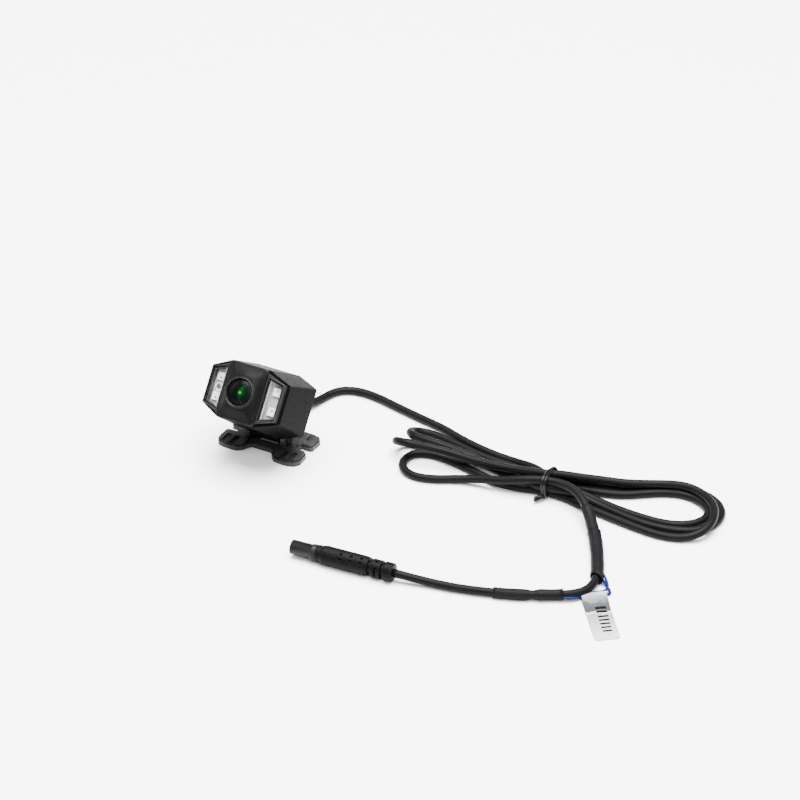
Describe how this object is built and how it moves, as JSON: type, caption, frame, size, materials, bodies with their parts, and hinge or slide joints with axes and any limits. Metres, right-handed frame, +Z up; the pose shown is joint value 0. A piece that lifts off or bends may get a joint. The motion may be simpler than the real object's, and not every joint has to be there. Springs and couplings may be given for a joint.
{
  "type": "backup camera",
  "caption": "Small vehicle backup camera on a tilting butterfly base, with a tied lead, inline sleeves, a flag label and a moulded plug.",
  "frame": {"origin": "centre of the base's underside, where its adhesive tape meets the vehicle", "axes": "+Z up out of the mounting surface, -Y the way the camera looks, +X along the hinge pin to the right seen from in front"},
  "size_m": [0.2116, 0.1214, 0.0466],
  "materials": {
    "housing_black": "fine satin texture",
    "cover_black": "satin",
    "panel_black": "smooth satin",
    "gasket_rubber": "matte",
    "window_clear": "clear polished",
    "barrel_black": "black anodised",
    "ring_black": "black anodised",
    "lens_glass": "coated, polished",
    "holder_black": "matte",
    "filter_blue": "polished",
    "sensor_chip": "dark glass face",
    "board_green": "solder mask",
    "chip_black": "moulded",
    "screw_steel": "plated",
    "connector_white": "moulded",
    "led_board_white": "white solder mask",
    "led_board_green": "pale green solder mask",
    "led_white": "white ceramic with lens",
    "light_sensor_grey": "clear top",
    "cord_black": "satin vinyl",
    "base_black": "satin",
    "foam_black": "foam tape",
    "liner_red": "release film",
    "screw_black": "black plated",
    "washer_nylon": "nylon",
    "tie_black": "glossy wire tie",
    "sleeve_black": "heat-shrink",
    "wire_blue": "vinyl",
    "label_silver": "silver film",
    "plug_black": "matte moulded",
    "plug_shell_black": "moulded",
    "pin_brass": "plated"
  },
  "bodies": {
    "base": {"base_plate": "base_black", "adhesive_pad": "foam_black", "tape_liner": "liner_red", "hinge_screw": "screw_black", "hinge_nut": "screw_black", "hinge_washers": "washer_nylon", "lead_flex": "cord_black", "lead_run": "cord_black", "cable_hank": "cord_black", "cable_tie": "tie_black", "tail_run": "cord_black", "junction_sleeve_inner": "sleeve_black", "junction_sleeve_outer": "sleeve_black", "splice_sleeve": "sleeve_black", "loop_wires": "wire_blue", "flag_label": "label_silver", "plug_overmould": "plug_black", "plug_shell": "plug_shell_black", "plug_insert": "plug_shell_black", "plug_pins": "pin_brass"},
    "camera_head": {"rear_housing": "housing_black", "front_cover": "cover_black", "centre_panel": "panel_black", "front_gasket": "gasket_rubber", "window_left": "window_clear", "window_right": "window_clear", "lens_barrel": "barrel_black", "lens_retaining_ring": "ring_black", "front_lens": "lens_glass", "middle_lens": "lens_glass", "rear_lens": "lens_glass", "lens_seal": "gasket_rubber", "lens_holder": "holder_black", "filter_glass": "filter_blue", "image_sensor": "sensor_chip", "main_board": "board_green", "board_chips": "chip_black", "board_screws": "screw_steel", "board_connector": "connector_white", "led_board_left": "led_board_white", "led_board_right": "led_board_green", "leds_left": "led_white", "leds_right": "led_white", "light_sensor": "light_sensor_grey", "cable_grommet": "gasket_rubber", "cable_inside": "cord_black"}
  },
  "joints": [
    {"name": "tilt", "type": "hinge", "parent": "base", "child": "camera_head", "pos_m": [0, -0.0006, 0.0056], "axis": [1, 0, 0], "range_deg": [-25, 36], "deforming": ["lead_flex"]}
  ]
}
